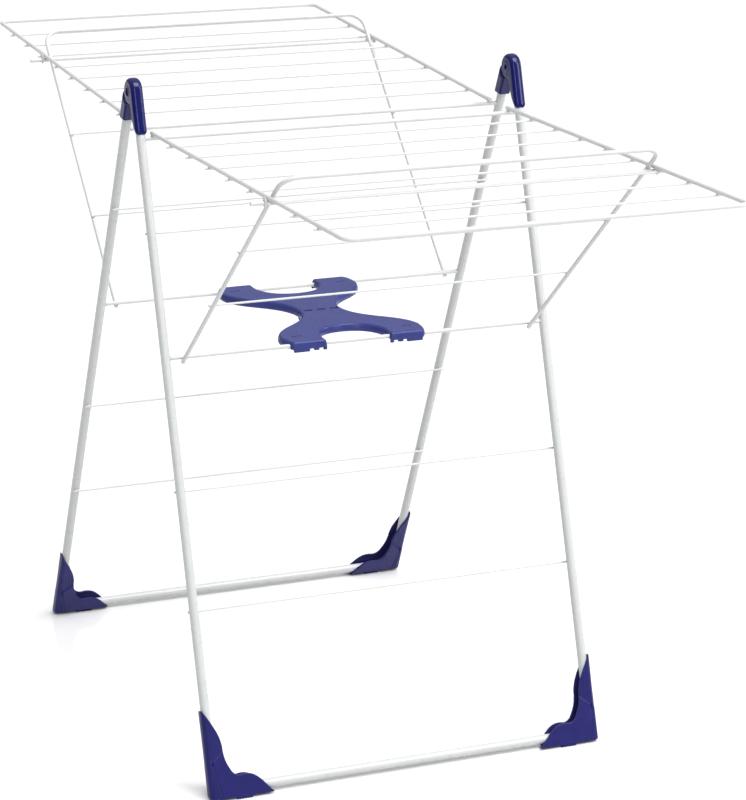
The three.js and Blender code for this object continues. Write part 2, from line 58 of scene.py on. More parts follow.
LEG_ANGLE = math.radians(20.5)
LEG_REACH = 961.5                 # along the leg, hinge line to bottom tube
LEG_OFFSET = 9.0                  # leg centreline to hinge axis
TUBE_R = 6.5
TUBE_BORE_R = 5.5
TUBE_BEND_R = 38.0
THIN_R = 1.5
THICK_R = 3.0
GAP = 0.3
PLAY = 0.35                       # round a pin or rod that turns in a hole
THICK_SIDES = 24                  # facets round a thick wire
LONGEST_STEP = 60.0               # longest straight stretch of a swept rod
TUBE_TOPS = {"front": 14.0, "back": 24.0}      # top of a leg tube below the hinge axis
FRAME_WIRES = {"upper": 196.6, "middle": 552.0, "lower": 716.4}
FOOT_ROD_AT = 369.0
WING_TILT = math.radians(1.8)
RAIL_X = 270.5
RAIL_V = 2 * THICK_R + GAP        # rail centre above the pivot bar
ROD_V = RAIL_V - THICK_R - THIN_R - GAP
WING_BEND_R = 14.0
WING_LENGTH = 664.0
ROD_COUNT = 8
ROD_PITCH = 73.3
AXLE_AT = 424.0                   # along the wing from its pivot
AXLE_V = RAIL_V - 2 * THICK_R - 0.5
BESIDE = 2 * THICK_R + GAP
STRUT_X = 263.5
STRUT_LOOP = 46.0
STRUT_TAIL = 3.0
STRUT_BEND_R = 24.0
STRUT_WIRES = {"upper": 142.0, "lower": 285.0}
SLEEVE_W = 18.0
DOME_R = 19.0
SLEEVE_END = 64.0                 # tip of a front sleeve below the hinge axis
TONGUE_R = 11.5
TONGUE_W = 6.0
SLEEVE_OUTER = -LEG_OFFSET - SLEEVE_W / 2
SLEEVE_INNER = -GAP
SLEEVE_CROWN = 1.6
REAR_SLEEVE_END = 51.6
HINGE_BOSS_R = 8.2
HINGE_PIN_R = 3.0
PIN_HEAD_R = 5.3
PIN_RECESS_R = 5.9
PIN_RECESS_DEPTH = 2.4
FOOT_W = 20.0
FOOT_OUT = 9.0                    # leg centreline to the outer wall of a foot
FOOT_ROUND = 8.0
FOOT_TIP = 111.0
FOOT_TOE = 85.0                   # leg centreline to the toe of a foot
FOOT_BASE = -14.0
SOLE_Z = 3.4                      # level underside of a foot above the floor
CREASE_FAN = (-1.5, 40.0)         # where the creases of a cheek meet
CREASE_END = (16.0, 54.5)
PAD_CENTRE = (41.0, 0.0, -15.5)
PAD_HALF = (12.0, 9.0, 8.5)
PAD_RIB_PITCH = 4.0
SPREADER_TOP = 7.2
SPREADER_SKIRT = 5.0
SPREADER_WAIST = 33.0
SPREADER_ARM = 108.0
SPREADER_MOUTH = 48.0
SPREADER_WALL = 3.0
SPREADER_PLATE = 2.4
RIB_HALF = 0.9
SLOT_PITCH = 20.5
KNUCKLE_R = 4.0
KNUCKLE_INNER = 19.8
KNUCKLE_OUTER = 20.3
SPREADER_PIN_R = 1.5
CLIP_TEETH = ((86.0, 12.0, 3.2), (64.0, 4.0, 2.2), (51.0, 2.6, 2.8))   # middle, half width, drop

LEG_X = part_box("front_hinge_sleeve_right")[0][0] / MM + SLEEVE_W / 2
joint_at = {joint["name"]: [v / MM for v in joint["pos_m"]] for joint in frame["joints"]}
HINGE_Z = joint_at["leg_fold"][2]
PIVOT_OUT = joint_at["back_wing_fold"][1]
PIVOT_Z = joint_at["back_wing_fold"][2]
ROD_OUT = joint_at["spreader_rear_lift"][1]
ROD_Z = joint_at["spreader_rear_lift"][2]
SPREADER_X = joint_at["spreader_rear_lift"][0]
SPREADER_TIP = ROD_OUT + 8.5


def strut_line():
    """Lean and length of a strut leg, from its axle to the foot rod it rests on."""
    axle_out = PIVOT_OUT + AXLE_AT * math.cos(WING_TILT) - AXLE_V * math.sin(WING_TILT)
    axle_up = PIVOT_Z + AXLE_AT * math.sin(WING_TILT) + AXLE_V * math.cos(WING_TILT)
    out = axle_out - ROD_OUT
    up = axle_up - ROD_Z
    span = math.hypot(out, up)
    return math.atan2(out, up) - math.asin((2 * BESIDE + GAP) / span), span


STRUT_LEAN, STRUT_SPAN = strut_line()
HALF_TURN = {"front": Matrix.Identity(4), "back": Matrix.Rotation(math.pi, 4, "Z")}
LEG_FRAME = Matrix.Translation((0, 0, HINGE_Z)) @ Matrix.Rotation(-LEG_ANGLE, 4, "X")
WING_FRAME = Matrix.Translation((0, -PIVOT_OUT, PIVOT_Z)) @ Matrix.Rotation(-WING_TILT, 4, "X")
STRUT_FRAME = (WING_FRAME @ Matrix.Translation((0, -AXLE_AT, AXLE_V))
               @ Matrix.Rotation(STRUT_LEAN + WING_TILT, 4, "X"))
SPREADER_FRAME = Matrix.Translation((SPREADER_X, 0, ROD_Z))

# ---- materials --------------------------------------------------------------------------


class Shader:
    """A node material built from a Principled shader, with helpers to wire its inputs."""

    def __init__(self, name):
        self.material = bpy.data.materials.new(name)
        self.material.use_nodes = True
        self.nodes = self.material.node_tree.nodes
        self.links = self.material.node_tree.links
        self.shader = self.nodes["Principled BSDF"]
        self.place = self.nodes.new("ShaderNodeTexCoord")

    def set(self, **values):
        for key, value in values.items():
            self.shader.inputs[key.replace("_", " ")].default_value = value

    def noise(self, scale, detail, roughness=0.5, stretch=(1.0, 1.0, 1.0)):
        mapping = self.nodes.new("ShaderNodeMapping")
        mapping.inputs["Scale"].default_value = stretch
        self.links.new(self.place.outputs["Object"], mapping.inputs["Vector"])
        texture = self.nodes.new("ShaderNodeTexNoise")
        texture.inputs["Scale"].default_value = scale
        texture.inputs["Detail"].default_value = detail
        texture.inputs["Roughness"].default_value = roughness
        self.links.new(mapping.outputs["Vector"], texture.inputs["Vector"])
        return texture.outputs["Fac"]

    def ramp(self, factor, stops):
        ramp = self.nodes.new("ShaderNodeValToRGB")
        elements = ramp.color_ramp.elements
        while len(elements) < len(stops):
            elements.new(0.5)
        for element, (position, color) in zip(elements, stops):
            element.position = position
            element.color = (*color, 1.0)
        self.links.new(factor, ramp.inputs["Fac"])
        return ramp.outputs["Color"]

    def color(self, output):
        self.links.new(output, self.shader.inputs["Base Color"])

    def spread(self, factor, socket, low, high):
        """Drives a number of the shader from a texture, between two values."""
        scale = self.nodes.new("ShaderNodeMapRange")
        scale.inputs["From Min"].default_value = 0.3
        scale.inputs["From Max"].default_value = 0.7
        scale.inputs["To Min"].default_value = low
        scale.inputs["To Max"].default_value = high
        self.links.new(factor, scale.inputs["Value"])
        self.links.new(scale.outputs["Result"], self.shader.inputs[socket])

    def bump(self, factor, height_mm, strength):
        bump = self.nodes.new("ShaderNodeBump")
        bump.inputs["Distance"].default_value = height_mm * MM
        bump.inputs["Strength"].default_value = strength
        self.links.new(factor, bump.inputs["Height"])
        self.links.new(bump.outputs["Normal"], self.shader.inputs["Normal"])


def shade(color, factor):
    return tuple(min(1.0, channel * factor) for channel in color)


def coated_metal(name, color, roughness, ripple_mm):
    """Powder or dip coating: nearly even colour, slight orange peel and soft gloss."""
    shader = Shader(name)
    cloud = shader.noise(28.0, detail=4.0)
    peel = shader.noise(620.0, detail=2.0)
    run = shader.noise(90.0, detail=2.0)
    shader.color(shader.ramp(cloud, [(0.30, shade(color, 0.97)), (0.52, color),
                                     (0.75, shade(color, 1.02))]))
    shader.spread(run, "Roughness", roughness - 0.06, roughness + 0.08)
    shader.bump(peel, ripple_mm, 0.4)
    shader.set(IOR=1.45, Coat_Weight=0.15, Coat_Roughness=0.2)
    return shader.material


def moulded_plastic(name, color, roughness, grain_mm, ior):
    """Injection moulded plastic: flow clouding, a fine mould grain and scuffed gloss."""
    shader = Shader(name)
    cloud = shader.noise(34.0, detail=5.0, roughness=0.55)
    grain = shader.noise(1500.0, detail=2.0)
    scuff = shader.noise(160.0, detail=6.0, roughness=0.7, stretch=(1.0, 1.0, 0.25))
    shader.color(shader.ramp(cloud, [(0.28, shade(color, 0.88)), (0.5, color),
                                     (0.74, shade(color, 1.12))]))
    shader.spread(scuff, "Roughness", roughness - 0.04, roughness + 0.07)
    shader.bump(grain, grain_mm, 0.5)
    shader.set(IOR=ior)
    return shader.material


WIRE_COAT = coated_metal("wire_coat", (0.44, 0.445, 0.44), roughness=0.34, ripple_mm=0.006)
TUBE_COAT = coated_metal("tube_coat", (0.39, 0.40, 0.40), roughness=0.30, ripple_mm=0.005)
CONNECTOR_BLUE = moulded_plastic("connector_blue", (0.002, 0.003, 0.065),
                                 roughness=0.12, grain_mm=0.002, ior=1.30)
FOOT_BLUE = moulded_plastic("foot_blue", (0.011, 0.011, 0.080),
                            roughness=0.32, grain_mm=0.008, ior=1.25)
SPREADER_BLUE = moulded_plastic("spreader_blue", (0.021, 0.027, 0.130),
                                roughness=0.30, grain_mm=0.008, ior=1.30)
PIN_BLACK = moulded_plastic("pin_black", (0.003, 0.003, 0.006),
                            roughness=0.40, grain_mm=0.008, ior=1.40)

# ---- meshes -----------------------------------------------------------------------------


def add_piece(name, verts, faces, place, material, body, replaced, normals=None):
    """Makes a Blender object from points in millimetres in a local frame."""
    matrix = np.array(place)
    points = np.asarray(verts, dtype=np.float64) @ matrix[:3, :3].T + matrix[:3, 3]
    mesh = bpy.data.meshes.new(name)
    mesh.from_pydata((points * MM).tolist(), [], faces)
    mesh.validate()
    mesh.shade_smooth()
    if normals is None:
        mesh.set_sharp_from_angle(angle=math.radians(38))
    else:
        turned = np.asarray(normals) @ matrix[:3, :3].T
        mesh.normals_split_custom_set_from_vertices(turned.tolist())
    mesh.materials.append(material)
    piece = bpy.data.objects.new(name, mesh)
    bpy.context.scene.collection.objects.link(piece)
    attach(piece, body)
    if replaced:
        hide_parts(*replaced)


def rounded_path(corners, bend_r, steps):
    """Points along a polyline with its inner corners rounded."""
    corners = [Vector(corner) for corner in corners]
    points = [corners[0]]
    for before, corner, after in zip(corners, corners[1:], corners[2:]):
        into = (corner - before).normalized()
        out = (after - corner).normalized()
        turn = into.angle(out)
        start = corner - into * bend_r * math.tan(turn / 2)
        sideways = (out - into * math.cos(turn)).normalized()
        for k in range(steps + 1):
            angle = turn * k / steps
            points.append(start + into * bend_r * math.sin(angle)
                          + sideways * bend_r * (1 - math.cos(angle)))
    points.append(corners[-1])
    return points


def split_long(points, longest):
    """Adds points so that no straight stretch is longer than the given length."""
    result = [points[0]]
    for start, end in zip(points, points[1:]):
        count = max(1, math.ceil((end - start).length / longest))
        for k in range(1, count + 1):
            result.append(start.lerp(end, k / count))
    return result


def ring_frames(points):
    """A pair of steady axes across the path at each of its points."""
    tangents = []
    for i in range(len(points)):
        before = points[max(i - 1, 0)]
        after = points[min(i + 1, len(points) - 1)]
        tangents.append((after - before).normalized())
    helper = Vector((0, 0, 1)) if abs(tangents[0].z) < 0.9 else Vector((0, 1, 0))
    across = tangents[0].cross(helper).normalized()
    frames = []
    for tangent in tangents:
        across = (across - tangent * across.dot(tangent)).normalized()
        frames.append((across, tangent.cross(across)))
    return frames


def eased_end(end, inwards, radius, edge):
    """Rings from the face of a rod's end to its full radius, over a rounded edge."""
    steps = 5
    rings = []
    for k in range(steps + 1):
        angle = math.pi / 2 * k / steps
        centre = end + inwards * edge * (1 - math.cos(angle))
        rings.append((centre, radius - edge + edge * math.sin(angle)))
    return rings


def round_ends(points, radius, edge):
    """Rings of a rod as (point, radius), its two ends rounded by the given edge radius."""
    first = eased_end(points[0], (points[1] - points[0]).normalized(), radius, edge)
    last = eased_end(points[-1], (points[-2] - points[-1]).normalized(), radius, edge)
    return first + [(point, radius) for point in points[1:-1]] + last[::-1]


def sweep_rings(rings, sides):
    """Skin over rings of (centre, radius), closed by a flat cap at each end."""
    frames = ring_frames([centre for centre, _ in rings])
    verts = []
    faces = []
    for (centre, radius), (u, v) in zip(rings, frames):
        for k in range(sides):
            angle = 2 * math.pi * k / sides
            verts.append(centre + (u * math.cos(angle) + v * math.sin(angle)) * radius)
    for i in range(len(rings) - 1):
        for k in range(sides):
            a = i * sides + k
            b = i * sides + (k + 1) % sides
            faces.append((a, b, b + sides, a + sides))
    faces.append(tuple(reversed(range(sides))))
    last = (len(rings) - 1) * sides
    faces.append(tuple(range(last, last + sides)))
    return verts, faces


def merge(parts):
    """Joins several (verts, faces) into one."""
    verts = []
    faces = []
    for part_verts, part_faces in parts:
        base = len(verts)
        verts.extend(part_verts)
        faces.extend(tuple(index + base for index in face) for face in part_faces)
    return verts, faces


def rod(points, radius, sides=20, edge=0.5):
    """A round rod along a path, its two ends eased by the given edge radius."""
    path = split_long([Vector(point) for point in points], LONGEST_STEP)
    return sweep_rings(round_ends(path, radius, edge), sides)


def weld(centre, half_lengths, sides=14):
    """A small smooth bead of coating over a welded crossing."""
    centre = Vector(centre)
    verts = []
    faces = []
    rings = 7
    for i in range(rings + 1):
        lift = math.pi * (i / rings) - math.pi / 2
        squash = math.cos(lift) if 0 < i < rings else 0.02
        for k in range(sides):
            turn = 2 * math.pi * k / sides
            verts.append(centre + Vector((
                half_lengths[0] * squash * math.cos(turn),
                half_lengths[1] * squash * math.sin(turn),
                half_lengths[2] * math.sin(lift))))
    for i in range(rings):
        for k in range(sides):
            a = i * sides + k
            b = i * sides + (k + 1) % sides
            faces.append((a, b, b + sides, a + sides))
    faces.append(tuple(reversed(range(sides))))
    faces.append(tuple(range(rings * sides, (rings + 1) * sides)))
    return verts, faces


# ---- distance fields --------------------------------------------------------------------


def length2(a, b):
    """Distance from the origin of a plane."""
    return np.sqrt(a * a + b * b)


def smooth_join(a, b, blend):
    """Two shapes as one, with a fillet where they meet."""
    h = np.clip(0.5 + 0.5 * (b - a) / blend, 0.0, 1.0)
    return b + (a - b) * h - blend * h * (1.0 - h)


def smooth_cut(a, b, blend):
    """Shape a with shape b taken away, its edges eased."""
    return -smooth_join(-a, b, blend)


def smooth_meet(a, b, blend):
    """What two shapes share, its edges eased."""
    return -smooth_join(-a, -b, blend)


def box_field(x, y, z, centre, half, radius):
    """Signed distance to a box with rounded edges, from its centre and half lengths."""
    dx = np.abs(x - centre[0]) - half[0] + radius
    dy = np.abs(y - centre[1]) - half[1] + radius
    dz = np.abs(z - centre[2]) - half[2] + radius
    outside = np.sqrt(np.maximum(dx, 0) ** 2 + np.maximum(dy, 0) ** 2 + np.maximum(dz, 0) ** 2)
    return outside + np.minimum(np.maximum(dx, np.maximum(dy, dz)), 0.0) - radius


def slab_field(outline, across, half, radius):
    """An outline's field given a thickness, with its edges rounded by the radius."""
    a = outline + radius
    b = np.abs(across) - half + radius
    return np.minimum(np.maximum(a, b), 0.0) + length2(np.maximum(a, 0), np.maximum(b, 0)) - radius


def outline_field(points, u, v):
    """Signed distance to a closed outline, negative inside."""
    u, v = np.broadcast_arrays(u, v)
    shape = u.shape
    pu = u.ravel()
    pv = v.ravel()
    nearest = np.full(pu.shape, 1e12)
    inside = np.zeros(pu.shape, dtype=bool)
    for (au, av), (bu, bv) in zip(points, points[1:] + points[:1]):
        eu = bu - au
        ev = bv - av
        span = eu * eu + ev * ev
        if span < 1e-12:
            continue
        t = np.clip(((pu - au) * eu + (pv - av) * ev) / span, 0.0, 1.0)
        du = pu - au - t * eu
        dv = pv - av - t * ev
        nearest = np.minimum(nearest, du * du + dv * dv)
        if ev != 0.0:
            crosses = ((av > pv) != (bv > pv)) & (pu < eu * (pv - av) / ev + au)
            inside ^= crosses
    return (np.where(inside, -1.0, 1.0) * np.sqrt(nearest)).reshape(shape)


def bezier(p0, p1, p2, p3, steps):
    """Points of a cubic curve, without its first one."""
    points = []
    for k in range(1, steps + 1):
        t = k / steps
        s = 1 - t
        points.append(tuple(s ** 3 * a + 3 * s * s * t * b + 3 * s * t * t * c + t ** 3 * d
                            for a, b, c, d in zip(p0, p1, p2, p3)))
    return points


def arc(centre, radius, start_deg, end_deg, steps):
    """Points of an arc, with both ends."""
    points = []
    for k in range(steps + 1):
        angle = math.radians(start_deg + (end_deg - start_deg) * k / steps)
        points.append((centre[0] + radius * math.cos(angle), centre[1] + radius * math.sin(angle)))
    return points


def field_mesh(field, low, high, cell):
    """Surface nets over a field, pulled onto its zero level, with normals from its slope."""
    axes = [np.arange(lo - 2 * cell, hi + 2.01 * cell, cell) for lo, hi in zip(low, high)]
    grid = [axes[0][:, None, None], axes[1][None, :, None], axes[2][None, None, :]]
    value = np.broadcast_to(field(*grid), [len(axis) for axis in axes]).astype(np.float32)
    inside = value < 0
    cells = tuple(n - 1 for n in value.shape)

    def corner(array, i, j, k):
        return array[i:i + cells[0], j:j + cells[1], k:k + cells[2]]

    corners = [(i, j, k) for i in (0, 1) for j in (0, 1) for k in (0, 1)]
    count = sum(corner(inside, *c).astype(np.int8) for c in corners)
    active = (count > 0) & (count < 8)
    index = np.full(cells, -1, dtype=np.int64)
    index[active] = np.arange(int(active.sum()))
    total = np.zeros((int(active.sum()), 3))
    hits = np.zeros(int(active.sum()))
    for c in corners:
        for axis in range(3):
            if c[axis]:
                continue
            other = list(c)
            other[axis] = 1
            a = corner(value, *c)[active]
            b = corner(value, *other)[active]
            crosses = (a < 0) != (b < 0)
            t = np.where(crosses, a / np.where(crosses, a - b, 1.0), 0.0)
            for axis2 in range(3):
                step = t if axis2 == axis else float(c[axis2])
                total[:, axis2] += np.where(crosses, step, 0.0)
            hits += crosses
    base = np.argwhere(active)
    verts = (base + total / hits[:, None]) * cell + np.array([axis[0] for axis in axes])

    quads = []
    for axis in range(3):
        ahead = [slice(1, -1)] * 3
        ahead[axis] = slice(0, -1)
        here = inside[tuple(ahead)]
        ahead[axis] = slice(1, None)
        there = inside[tuple(ahead)]
        u, v = [a for a in range(3) if a != axis]
        for wanted, first in ((here & ~there, True), (~here & there, False)):
            spots = np.argwhere(wanted)
            if not len(spots):
                continue
            spots[:, u] += 1
            spots[:, v] += 1
            ring = []
            for du, dv in ((-1, -1), (0, -1), (0, 0), (-1, 0)):
                spot = spots.copy()
                spot[:, u] += du
                spot[:, v] += dv
                ring.append(index[tuple(spot.T)])
            ring = np.stack(ring, axis=1)
            flip = (axis == 1) == first
            quads.append(ring[:, ::-1] if flip else ring)
    quads = np.concatenate(quads)

    def slope(points):
        step = cell * 0.25
        parts = []
        for axis in range(3):
            shift = np.zeros(3)
            shift[axis] = step
            ahead = field(*(points + shift).T)
            behind = field(*(points - shift).T)
            parts.append((ahead - behind) / (2 * step))
        return np.stack(parts, axis=1)

    for _ in range(2):
        gradient = slope(verts)
        size = np.maximum((gradient ** 2).sum(axis=1), 0.25)
        move = gradient * (field(*verts.T) / size)[:, None]
        verts = verts - np.clip(move, -cell, cell)
    gradient = slope(verts)
    normals = gradient / np.maximum(np.linalg.norm(gradient, axis=1), 1e-6)[:, None]
    return verts, quads.tolist(), normals


# ---- leg frames -------------------------------------------------------------------------


def side_name(half, side):
    """Left or right as seen from the front, where the back half is turned round."""
    return "right" if (side > 0) == (half == "front") else "left"


def with_welds(part, centre, half_lengths):
    """A rod with a weld at the given place and one mirrored across the rack's middle."""
    x, y, z = centre
    return [part] + [weld((side * x, y, z), half_lengths) for side in (-1, 1)]


def add_wires(node, parts, place, body):
    verts, faces = merge(parts)
    add_piece(f"{node}_detail", verts, faces, place, WIRE_COAT, body, [node])


def leg_tube(half):
    top = TUBE_TOPS[half]
    corners = [(-LEG_X, -LEG_OFFSET, -top), (-LEG_X, -LEG_OFFSET, -LEG_REACH),
               (LEG_X, -LEG_OFFSET, -LEG_REACH), (LEG_X, -LEG_OFFSET, -top)]
    path = split_long(rounded_path(corners, TUBE_BEND_R, 18), LONGEST_STEP)
    sides = 32
    outer, outer_faces = sweep_rings([(point, TUBE_R) for point in path], sides)
    inner, inner_faces = sweep_rings([(point, TUBE_BORE_R) for point in path], sides)
    base = len(outer)
    last = base - sides
    faces = outer_faces[:-2]
    faces += [tuple(index + base for index in reversed(face)) for face in inner_faces[:-2]]
    for k in range(sides):
        n = (k + 1) % sides
        faces.append((n, k, k + base, n + base))
        faces.append((last + k, last + n, last + n + base, last + k + base))
    add_piece(f"{half}_leg_tube_detail", outer + inner, faces, HALF_TURN[half] @ LEG_FRAME,
              TUBE_COAT, f"{half}_frame", [f"{half}_leg_tube"])


def frame_wire(half, level, along):
    y = -LEG_OFFSET + TUBE_R + THIN_R + GAP
    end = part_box("front_frame_wire_upper")[1][0] / MM
    wire = rod([(-end, y, -along), (end, y, -along)], THIN_R)
    parts = with_welds(wire, (LEG_X, y - THIN_R - 0.2, -along), (3.4, 1.3, 2.5))
    add_wires(f"{half}_frame_wire_{level}", parts, HALF_TURN[half] @ LEG_FRAME, f"{half}_frame")


def foot_rod(half):
    """The foot rod, with a bead of coating where it enters each leg."""
    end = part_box("front_foot_rod")[1][0] / MM
    bar = rod([(-end, -LEG_OFFSET, -FOOT_ROD_AT), (end, -LEG_OFFSET, -FOOT_ROD_AT)],
              THICK_R, THICK_SIDES)
    parts = with_welds(bar, (LEG_X - TUBE_R - 0.2, -LEG_OFFSET, -FOOT_ROD_AT), (1.0, 3.6, 3.6))
    add_wires(f"{half}_foot_rod", parts, HALF_TURN[half] @ LEG_FRAME, f"{half}_frame")


# ---- hinge connectors -------------------------------------------------------------------


def front_sleeve_outline():
    """Dome over the hinge; the inner edge curves away to a rounded tip at the outside."""
    cut = (SLEEVE_INNER, -36)
    tip = (-11, 0.6 - SLEEVE_END)
    points = arc((0, 0), DOME_R, 180, -84, 44)
    points += bezier(points[-1], (-1, -21), (SLEEVE_INNER, -24), (SLEEVE_INNER, -30), 6)
    points.append(cut)
    points += bezier(cut, (-1.0, -48), (-6, -57), tip, 12)
    points += bezier(tip, (-15, 0.2 - SLEEVE_END), (SLEEVE_OUTER, 2 - SLEEVE_END),
                     (SLEEVE_OUTER, 8 - SLEEVE_END), 8)
    return points


def rear_sleeve_outline():
    """Dome cut off at the middle plane, over a straight sleeve with a slightly curved end."""
    top = DOME_R + 0.4
    start = math.degrees(math.asin(SLEEVE_INNER / top)) - 90
    corner = (SLEEVE_OUTER, -REAR_SLEEVE_END)
    points = arc((0, 0), top, start, -177, 24)
    points.append((SLEEVE_OUTER, -6))
    points.append(corner)
    points += bezier(corner, (-14, -52), (-6, -50.5), (SLEEVE_INNER, -47), 8)
    return points


def tube_pocket(x, y, z, tube_top):
    """The round hole that takes the top of a leg tube."""
    return np.maximum(length2(x, y + LEG_OFFSET) - TUBE_R - GAP, z + tube_top - GAP)


def add_connector(half, node, field, low, high, cell, material):
    """A hinge piece from its field, riding one leg frame."""
    verts, quads, normals = field_mesh(field, low, high, cell)
    add_piece(f"{node}_detail", verts, quads, HALF_TURN[half] @ LEG_FRAME,
              material, f"{half}_frame", [node], normals)


def front_sleeve(side):
    """Bullet shaped hood: round across as well as along, with a pin recess outside."""
    outline = front_sleeve_outline()
    x_mid = side * LEG_X
    half = SLEEVE_W / 2

    def field(x, y, z):
        across = (x - x_mid) * side
        from_axis = length2(y, z)
        crown = SLEEVE_CROWN * (across / half) ** 2
        body = slab_field(outline_field(outline, y, z) + crown, across, half, 5.0)
        tip = length2(across, np.minimum(z + SLEEVE_END - half - 0.6, 0)) - half
        body = smooth_meet(body, tip, 1.0)
        body = smooth_join(body, slab_field(from_axis - HINGE_BOSS_R, across, half, 0.9), 1.0)
        round_slot = from_axis - TONGUE_R - 0.5
        neck_slot = np.maximum(-0.6 - y, np.abs(z) - 30)
        slot = slab_field(np.minimum(round_slot, neck_slot), across, TONGUE_W / 2 + GAP, 0.2)
        body = smooth_cut(body, slot, 0.4)
        body = smooth_cut(body, tube_pocket(x - x_mid, y, z, TUBE_TOPS["front"]), 0.3)
        recess = np.maximum(from_axis - PIN_RECESS_R, half - PIN_RECESS_DEPTH - across)
        return smooth_cut(body, np.minimum(recess, from_axis - HINGE_PIN_R - PLAY), 0.5)

    low = (x_mid - half, -DOME_R, -SLEEVE_END)
    high = (x_mid + half, DOME_R, DOME_R)
    add_connector("front", f"front_hinge_sleeve_{side_name('front', side)}", field, low, high,
                  0.8, CONNECTOR_BLUE)


def rear_sleeve(side):
    """Sleeve with a tongue that turns in the slot of the front sleeve."""
    outline = rear_sleeve_outline()
    x_mid = side * LEG_X
    half = SLEEVE_W / 2

    def field(x, y, z):
        across = (x - x_mid) * side
        sleeve = slab_field(outline_field(outline, y, z), across, half, 3.2)
        tongue = slab_field(length2(y, z) - TONGUE_R, across, TONGUE_W / 2, 0.8)
        neck = box_field(x, y, z, (x_mid, -8.5, -17), (TONGUE_W / 2, 6.5, 13), 0.8)
        body = smooth_join(sleeve, smooth_join(tongue, neck, 1.0), 1.0)
        body = smooth_cut(body, tube_pocket(x - x_mid, y, z, TUBE_TOPS["back"]), 0.3)
        return smooth_cut(body, length2(y, z) - HINGE_PIN_R - PLAY, 0.3)

    low = (x_mid - half, -DOME_R, -53)
    high = (x_mid + half, TONGUE_R, TONGUE_R)
    add_connector("back", f"back_hinge_sleeve_{side_name('back', side)}", field, low, high,
                  0.8, CONNECTOR_BLUE)


def sleeve_hook(side):
    """Small black hook at the lower outer corner of a rear sleeve."""
    x_mid = side * LEG_X
    points = rounded_path([(x_mid, SLEEVE_OUTER + 1.0, -47), (x_mid, SLEEVE_OUTER - 0.6, -49),
                           (x_mid, SLEEVE_OUTER - 0.6, -54.0),
                           (x_mid, SLEEVE_OUTER + 0.8, -54.4)], 1.2, 6)
    verts, faces = rod(points, 1.8, 18, 0.8)
    add_piece(f"back_sleeve_hook_{side_name('back', side)}", verts, faces,
              HALF_TURN["back"] @ LEG_FRAME, PIN_BLACK, "back_frame", [])


def hinge_pin(side):
    """A black pin with a broad dished head in the recess of the outer side."""
    x_mid = side * LEG_X
    half = SLEEVE_W / 2 - PIN_RECESS_DEPTH
    head_half = 0.5
    dish_r = 6.0

    def field(x, y, z):
        across = (x - x_mid) * side
        from_axis = length2(y, z)
        shaft = slab_field(from_axis - HINGE_PIN_R, across, half, 0.5)
        head = slab_field(from_axis - PIN_HEAD_R, across - half - head_half, head_half, 0.3)
        dish = length2(from_axis, across - half - dish_r - 0.2) - dish_r
        return smooth_cut(smooth_join(shaft, head, 0.3), dish, 0.3)

    low = (x_mid - half - 1.2, -5.4, -5.4)
    high = (x_mid + half + 1.2, 5.4, 5.4)
    add_connector("back", f"hinge_pin_{side_name('back', side)}", field, low, high,
                  0.5, PIN_BLACK)


# ---- feet -------------------------------------------------------------------------------


def foot_outline():
    """Side outline of a foot: u inwards from the leg centreline, v up from the bottom tube."""
    points = [(-FOOT_OUT, FOOT_BASE), (FOOT_TOE, FOOT_BASE), (FOOT_TOE, -11.5)]
    points += bezier(points[-1], (77, -5), (67, 12), (55, 17), 10)
    points += bezier(points[-1], (50, 19.3), (43, 19.5), (38, 18.4), 7)
    points += bezier(points[-1], (33, 17.6), (27, 21), (24, 27.5), 8)
    points += bezier(points[-1], (19.5, 36), (16, 44), (16, 55), 8)
    points += bezier(points[-1], (16, 74), (5, 90), (1.5 - FOOT_OUT, FOOT_TIP), 12)
    points.append((-FOOT_OUT, FOOT_TIP))
    return points


def segment_distance(u, v, start, end):
    eu = end[0] - start[0]
    ev = end[1] - start[1]
    t = np.clip(((u - start[0]) * eu + (v - start[1]) * ev) / (eu * eu + ev * ev), 0, 1)
    return length2(u - start[0] - t * eu, v - start[1] - t * ev)


def foot_relief(u, v):
    """Depth of the moulded creases on a cheek: one aslant, three fanning down, flutes above."""
    fan_u, fan_v = CREASE_FAN
    relief = 1.1 * np.exp(-segment_distance(u, v, CREASE_FAN, CREASE_END) ** 2)
    for foot_u in (-5.0, 2.0, 9.0):
        relief = relief + 0.9 * np.exp(-segment_distance(u, v, CREASE_FAN, (foot_u, FOOT_BASE)) ** 2)
    over_crease = np.clip((v - fan_v - (u - fan_u) * 0.83) / 3.0, 0, 1)
    below_tip = np.clip((100.0 - v) / 30.0, 0, 1)
    flute = 0.5 + 0.5 * np.cos((u + 1.0) * 2 * math.pi / 5.2)
    return relief + over_crease * below_tip * (0.25 + 0.35 * flute)


def tube_channel(u, v, across):
    """Distance to the bent leg tube and to the open space inside its bend."""
    du = np.maximum(TUBE_BEND_R - u, 0)
    dv = np.maximum(TUBE_BEND_R - v, 0)
    at_bend = (u < TUBE_BEND_R) & (v < TUBE_BEND_R)
    inside = np.where(at_bend, TUBE_BEND_R - length2(du, dv), np.minimum(u, v))
    return np.where(inside > 0, np.abs(across), length2(inside, across)) - TUBE_R - GAP


